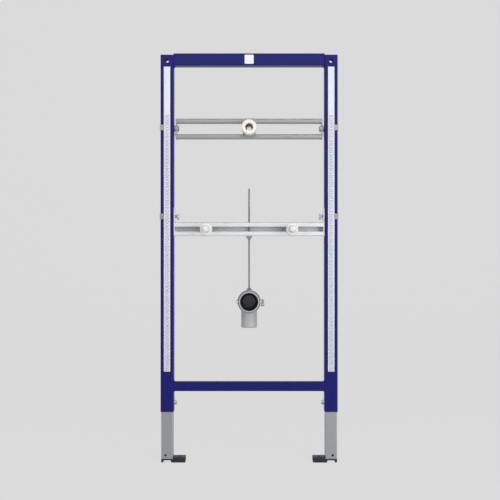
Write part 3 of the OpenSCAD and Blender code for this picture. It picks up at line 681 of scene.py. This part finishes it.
class FRAME_OT_water_outlet(Make, Operator):
    """Make the brass fitting with its threads, and the protective sleeve"""

    bl_idname = "installation_frame.water_outlet"
    bl_label = "Water outlet"

    def make(self, sizes, colours):
        self.fitting(sizes)
        self.sleeve()

    def fitting(self, sizes):
        """Turned brass: a threaded bore to the front, a collar and a thread to the rear."""
        low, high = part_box("brass_fitting")
        x, z = middle("brass_fitting")[[0, 2]]
        sides = 48
        bore, way, body, supply = 9.3 * MM, 7 * MM, 14 * MM, 13.2 * MM
        deep, front, wall = 14 * MM, low.y, low.y + 10 * MM
        origin = (x, 0, z)

        def ring(y, radius, corner=0.0):
            return turned([(y, radius, corner)], origin, "y", sides)[0].reshape(1, sides, 3)

        def rings(surface):
            return surface[0].reshape(-1, sides, 3)

        inner = thread(bore, sizes.pipe_pitch, deep - 1 * MM, sides, steps=8, inward=False)
        outer = thread(supply, sizes.pipe_pitch, 15 * MM, sides, steps=8)
        rows = [
            ring(front, bore + 1.2 * MM),
            ring(front, body - 1 * MM),
            ring(front + 1 * MM, body),
            ring(wall - 0.2 * MM, body),
            ring(wall, body + 1 * MM),
            ring(wall + 4.6 * MM, body + 1 * MM),
            ring(wall + 5 * MM, body + 0.6 * MM),
            ring(wall + 5 * MM, supply - 1.2 * MM),
            ring(high.y - 15 * MM, supply - 1.2 * MM),
            rings(lathe(outer[0] + high.y - 15 * MM, outer[1], origin, "y")),
            ring(high.y, way),
            ring(front + deep, way),
            ring(front + deep, bore),
            rings(lathe(front + 1 * MM + inner[0], inner[1], origin, "y"))[::-1],
        ]
        shell = grid(np.concatenate(rows), wrap_rows=True, wrap_columns=True)
        piece("brass_fitting_turned", [shell], "machined brass", "brass_fitting")

    def sleeve(self):
        """Tube with a round front lip and a stepped seat over the fitting, as one closed turned profile."""
        low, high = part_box("water_sleeve")
        x, z = middle("water_sleeve")[[0, 2]]
        outer, bore = (high.z - low.z) / 2, 11 * MM
        seat, seat_y = 14.3 * MM, high.y - 7.5 * MM
        outline = rounded(
            [(low.y, bore), (low.y, outer), (high.y, outer), (high.y, seat), (seat_y, seat), (seat_y, bore)],
            np.array([2.2, 3, 0.6, 0.3, 0.3, 0.8]) * MM,
            steps=7,
        )
        piece("water_sleeve_moulded", [turned(outline, (x, 0, z), "y", wrap=True)], "cream polyethylene", "water_sleeve")


class FRAME_OT_fixing_rail(Make, Operator):
    """Make the fixing rail with its brackets, studs, collars, caps and rod clip"""

    bl_idname = "installation_frame.fixing_rail"
    bl_label = "Fixing rail"

    def make(self, sizes, colours):
        eased("fixing_rail", "bright galvanised strip")
        for side, _ in SIDES:
            eased("rail_end_" + side, "bright galvanised strip")
            eased("rail_strap_" + side, "zinc-plated steel", edge=0.3 * MM)
            node = "rail_screw_" + side
            piece(node + "_thread", clamp_screw_parts(*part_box(node), 0.8 * MM), "zinc-plated steel", node)
            self.stud(side)
            self.collar(side)
            self.cap(side)
        self.rod_clip()

    def stud(self, side):
        """Threaded stud with its square slide nut behind the rail's lips."""
        node = "stud_" + side
        low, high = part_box(node)
        centre = middle(node)
        nut_t, nut_w = 5 * MM, high.z - low.z
        nut = boxes([(centre[0], high.y - nut_t / 2, centre[2])], [(nut_w, nut_t, nut_w)])
        heights, radii = thread(5 * MM, 1.5 * MM, high.y - low.y - nut_t, 24)
        shank = closed_lathe(heights, radii, (centre[0], low.y, centre[2]), "y")
        piece(node + "_thread", [nut, shank], "zinc-plated steel", node)

    def collar(self, side):
        """Flat ring with rounded edges against the rail."""
        node = "collar_" + side
        low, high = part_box(node)
        centre = middle(node)
        outer, bore = (high.z - low.z) / 2, 5.3 * MM
        outline = rounded(
            [(low.y, bore), (low.y, outer), (high.y, outer), (high.y, bore)],
            np.array([0.5, 1.6, 0.5, 0.3]) * MM,
        )
        shell = turned(outline, (centre[0], 0, centre[2]), "y", sides=72, wrap=True)
        piece(node + "_moulded", [shell], "white polypropylene", node)

    def cap(self, side):
        """Cap over the stud: a slightly tapered tube with a round nose, and its bore, as one closed profile."""
        node = "cap_" + side
        low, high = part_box(node)
        centre = middle(node)
        outer, bore, nose = (high.z - low.z) / 2, 5.3 * MM, (high.z - low.z) / 2
        draft = 0.3 * MM
        turn = np.linspace(0, TURN / 4, 12)
        dome = np.stack([low.y + nose * (1 - np.cos(turn)), (outer - draft) * np.sin(turn)], axis=1)
        rim = rounded(
            [(low.y + nose, outer - draft), (high.y, outer), (high.y, bore), (low.y + 9 * MM, bore)],
            np.array([0, 0.4, 0.5, 0]) * MM,
            closed=False,
        )
        rows = np.vstack([dome, rim, [(low.y + 9 * MM, 0)]])
        piece(node + "_moulded", [turned(rows, (centre[0], 0, centre[2]), "y", sides=56)], "white polypropylene", node)

    def rod_clip(self):
        """Funnel under the rail's lower flange, with its neck and snap lip, as one closed turned profile."""
        low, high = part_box("rod_clip")
        x, y = middle("rod_clip")[:2]
        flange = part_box("fixing_rail")[0].z
        wall = 2 * MM
        outline = rounded(
            [
                (low.z, 3.3 * MM),
                (low.z, 4.2 * MM),
                (flange - 1.5 * MM, 8.5 * MM),
                (flange, 8.5 * MM),
                (flange, 5.4 * MM),
                (flange + wall, 5.4 * MM),
                (flange + wall, 6.4 * MM),
                (high.z, 5.4 * MM),
                (high.z, 3.3 * MM),
            ],
            np.array([0.2, 0.3, 0.5, 0.2, 0.1, 0.1, 0.1, 0.2, 0.2]) * MM,
            steps=4,
        )
        piece("rod_clip_pressed", [turned(outline, (x, y, 0), "z", wrap=True)], "galvanised steel", "rod_clip")


class FRAME_OT_drain(Make, Operator):
    """Make the threaded rod, the pipe clamp, the drain elbow and its seal"""

    bl_idname = "installation_frame.drain"
    bl_label = "Drain"

    def make(self, sizes, colours):
        self.rod(sizes)
        for node in ("clamp_upper", "clamp_lower"):
            eased(node, "zinc-plated steel", edge=0.3 * MM)
        eased("clamp_lining", "grey lining rubber", edge=0.3 * MM)
        self.clamp_screw()
        self.elbow()
        self.seal()

    def rod(self, sizes):
        """Rod threaded over its whole length."""
        low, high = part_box("threaded_rod")
        x, y = middle("threaded_rod")[:2]
        heights, radii = thread((high.x - low.x) / 2, sizes.rod_pitch, high.z - low.z, sizes.thread_sides)
        shell = closed_lathe(heights, radii, (x, y, low.z), "z")
        piece("threaded_rod_thread", [shell], "zinc-plated steel", "threaded_rod", sharp=60)

    def clamp_screw(self):
        """Upright screw through the clamp's ears: head and washer below, nut above."""
        low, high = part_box("clamp_screw")
        x, y = middle("clamp_screw")[:2]
        corner = (high.x - low.x) / 2
        head_h, spacer_h, nut_h, thick = 5 * MM, 3.5 * MM, 3.25 * MM, 3.25 * MM
        heights, radii = thread(2.5 * MM, 0.8 * MM, high.z - low.z - head_h - 0.4 * MM, 18)
        parts = [
            turned(hex_head(low.z, head_h, corner), (x, y, 0), "z", sides=72),
            turned(
                [(low.z + head_h, 0), (low.z + head_h, thick), (low.z + head_h + spacer_h, thick), (low.z + head_h + spacer_h, 0)],
                (x, y, 0),
                sides=32,
            ),
            turned(
                [(high.z - nut_h, 0), (high.z - nut_h, thick), (high.z - 0.3 * MM, thick), (high.z, thick * 0.8), (high.z, 0)],
                (x, y, 0),
                sides=32,
            ),
            closed_lathe(heights, radii, (x, y, low.z + head_h), "z"),
        ]
        piece("clamp_screw_thread", parts, "zinc-plated steel", "clamp_screw")

    def elbow(self):
        """Socket, quarter bend and outlet as one wall, swept along the pipe's centre line.

        A row (s, r) is a ring of radius r at the length s along the line: straight back for the socket, a
        quarter circle of the bend's radius, then straight down.
        """
        low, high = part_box("drain_elbow")
        x = middle("drain_elbow")[0]
        socket, pipe, wall = (high.x - low.x) / 2, 23 * MM, 3 * MM
        bend = 30 * MM
        back = high.y - pipe - bend
        z = high.z - socket
        deep = back - low.y
        arc = bend * TURN / 4
        total = deep + arc + (z - bend - low.z)
        turn = np.linspace(deep, deep + arc, 26)
        outside = rounded(
            [(0, socket - wall), (0, socket), (deep, socket), (deep, pipe)],
            np.array([1.2, 1.2, 4, 0.8]) * MM,
            closed=False,
        )
        end = rounded(
            [(deep + arc, pipe), (total - 3 * MM, pipe), (total, pipe - 1.5 * MM), (total, pipe - wall), (deep + arc, pipe - wall)],
            np.array([0, 2, 0.8, 0.8, 0]) * MM,
            closed=False,
        )
        inside = [(deep - wall, pipe - wall), (deep - wall, socket - wall)]
        rows = np.vstack(
            [
                outside[4:],
                np.stack([turn[1:-1], np.full(24, pipe)], axis=1),
                end,
                np.stack([turn[::-1], np.full(26, pipe - wall)], axis=1),
                inside,
                [(0.5 * MM, socket - wall)],
            ]
        )
        piece("drain_elbow_moulded", [self.bent(rows, x, low.y, z, deep, bend)], "grey polypropylene", "drain_elbow")

    def bent(self, rows, x, front, z, deep, bend):
        """Rings (s, r) about a line that runs back by deep, turns down with the radius bend and runs down."""
        s, r = rows[:, 0], rows[:, 1]
        angle = np.clip((s - deep) / bend, 0, TURN / 4)
        down = np.maximum(s - deep - bend * TURN / 4, 0)
        back = np.minimum(s, deep) + bend * np.sin(angle)
        centre = np.stack([np.full(len(s), x), front + back, z - bend * (1 - np.cos(angle)) - down], axis=1)
        normal = np.stack([np.zeros(len(s)), np.sin(angle), np.cos(angle)], axis=1)
        turn = np.linspace(0, TURN, 72, endpoint=False)
        across = np.array([1.0, 0, 0])
        spokes = np.sin(turn)[None, :, None] * across + np.cos(turn)[None, :, None] * normal[:, None]
        return grid(centre[:, None] + r[:, None, None] * spokes, wrap_rows=True, wrap_columns=True)

    def seal(self):
        """Rubber ring in the socket with three round lips, and a cone that narrows to the pipe."""
        low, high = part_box("drain_seal")
        x, z = middle("drain_seal")[[0, 2]]
        outer, bore = (high.z - low.z) / 2, 23.5 * MM
        lips = low.y + np.linspace(1, 27, 53) * MM
        ripple = bore + 0.9 * MM * (1 - np.abs(np.cos(TURN / 2 * (lips - low.y) / (9 * MM))))
        rows = np.vstack(
            [
                [(low.y, bore + 0.8 * MM), (low.y, outer), (high.y, outer), (high.y, 17.5 * MM)],
                [(high.y - 3 * MM, 17.5 * MM)],
                np.stack([lips, ripple], axis=1)[::-1],
            ]
        )
        piece("drain_seal_moulded", [turned(rows, (x, 0, z), "y", wrap=True)], "black seal rubber", "drain_seal")


class FRAME_OT_stage(Make, Operator):
    """Make the studio: floor and backdrop, lights, world and camera"""

    bl_idname = "installation_frame.stage"
    bl_label = "Studio"

    def make(self, sizes, colours):
        floor = CAD_BOX[0][2]
        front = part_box("upright_left")[0].y
        centre = np.array([0, 0, (CAD_BOX[0][2] + CAD_BOX[1][2]) / 2])
        self.backdrop(floor)
        self.lamp("key", (2.2, -3.0, -0.2), centre, 1.8, 60)
        self.lamp("fill", (-2.3, -3.0, -0.2), centre, 1.8, 26)
        self.lamp("top_softbox", (0, -2.8, 1.3), centre, 1.6, 25)
        self.world(colours)
        self.camera(sizes, floor, front)
        bpy.context.scene.view_settings.view_transform = "Standard"

    def backdrop(self, floor):
        """Floor that turns up into a wall: straight, a quarter circle of radius 1 m, and straight up."""
        turn = np.linspace(0, TURN / 4, 16)
        depth = np.concatenate([[-8], 3 + np.sin(turn), [4]])
        rise = np.concatenate([[0], 1 - np.cos(turn), [6]])
        across = np.array([-7.0, 7.0])
        points = np.stack(np.broadcast_arrays(across[None], depth[:, None], floor + rise[:, None]), axis=-1)
        made, quads = grid(points)
        mesh = bpy.data.meshes.new("studio_floor")
        mesh.from_pydata(made.tolist(), [], quads[:, ::-1].tolist())
        mesh.materials.append(bpy.data.materials["studio floor"])
        sweep = bpy.data.objects.new("studio_floor", mesh)
        bpy.context.scene.collection.objects.link(sweep)

    def lamp(self, name, place, target, size, watts):
        """Square soft box that faces the target."""
        light = bpy.data.lights.new(name, "AREA")
        light.size = size
        light.energy = watts
        lamp = bpy.data.objects.new(name, light)
        bpy.context.scene.collection.objects.link(lamp)
        lamp.location = place
        aim = Vector(target) - lamp.location
        lamp.rotation_euler = aim.to_track_quat("-Z", "Y").to_euler()

    def world(self, colours):
        """Even studio light, pale behind the object and dark round the camera, as reflections see it."""
        world = bpy.data.worlds.new("studio")
        bpy.context.scene.world = world
        world.use_nodes = True
        tree = world.node_tree
        path = add(tree, "LightPath").outputs
        seen = add(tree, "Math", {0: path["Is Camera Ray"], 1: path["Is Glossy Ray"]}, operation="MAXIMUM")
        seen = add(tree, "Math", {0: seen.outputs[0], 1: path["Is Transmission Ray"]}, operation="MAXIMUM")
        light = tree.nodes["Background"]
        light.inputs["Color"].default_value = (0.95, 0.97, 1, 1)
        light.inputs["Strength"].default_value = 0.3
        pale = add(tree, "Background", {"Color": (*colours.backdrop, 1), "Strength": 1.0})
        dark = add(tree, "Background", {"Color": (0.1, 0.1, 0.1, 1), "Strength": 1.0})
        side = add(tree, "SeparateXYZ", {"Vector": add(tree, "TexCoord").outputs["Generated"]}).outputs["Y"]
        behind = add(tree, "MapRange", {"Value": side, "From Min": -0.3, "From Max": 0.2}).outputs["Result"]
        shown = add(tree, "Math", {0: behind, 1: path["Is Camera Ray"]}, operation="MAXIMUM")
        room = add(tree, "MixShader", {0: shown.outputs[0], 1: dark.outputs[0], 2: pale.outputs[0]})
        mixed = add(tree, "MixShader", {0: seen.outputs[0], 1: light.outputs[0], 2: room.outputs[0]})
        tree.links.new(mixed.outputs[0], tree.nodes["World Output"].inputs["Surface"])

    def camera(self, sizes, floor, front):
        """Level camera straight in front; the lens takes in the view's width at the frame's front."""
        data = bpy.data.cameras.new("camera")
        camera = bpy.data.objects.new("camera", data)
        bpy.context.scene.collection.objects.link(camera)
        data.sensor_width = 36
        data.lens = data.sensor_width * sizes.distance / sizes.view_width
        camera.location = (2.5 * MM, front - sizes.distance, floor + sizes.eye_height)
        camera.rotation_euler = (math.radians(90), 0, 0)
        bpy.context.scene.camera = camera


STEPS = (
    FRAME_OT_finishes,
    FRAME_OT_tubes,
    FRAME_OT_scales,
    FRAME_OT_feet,
    FRAME_OT_water_bracket,
    FRAME_OT_water_outlet,
    FRAME_OT_fixing_rail,
    FRAME_OT_drain,
    FRAME_OT_stage,
)


class FRAME_PT_panel(Panel):
    """Buttons for the frame's pieces"""

    bl_idname = "FRAME_PT_panel"
    bl_label = "Installation frame"
    bl_space_type = "VIEW_3D"
    bl_region_type = "UI"
    bl_category = "Frame"

    def draw(self, context):
        """Lists the sizes, the colours and the operators."""
        for group in (context.scene.frame_sizes, context.scene.frame_colours):
            for name in type(group).__annotations__:
                self.layout.prop(group, name)
        for step in STEPS:
            self.layout.operator(step.bl_idname)


CLASSES = (FrameColours, FrameSizes, *STEPS, FRAME_PT_panel)


def register():
    """Registers the classes and the scene's settings."""
    for item in CLASSES:
        bpy.utils.register_class(item)
    bpy.types.Scene.frame_sizes = PointerProperty(type=FrameSizes)
    bpy.types.Scene.frame_colours = PointerProperty(type=FrameColours)


def unregister():
    """Takes back what register did."""
    del bpy.types.Scene.frame_colours
    del bpy.types.Scene.frame_sizes
    for item in reversed(CLASSES):
        bpy.utils.unregister_class(item)


def main():
    """Makes everything in order."""
    register()
    for step in STEPS:
        group, name = step.bl_idname.split(".")
        getattr(getattr(bpy.ops, group), name)()


if __name__ == "__main__":
    main()
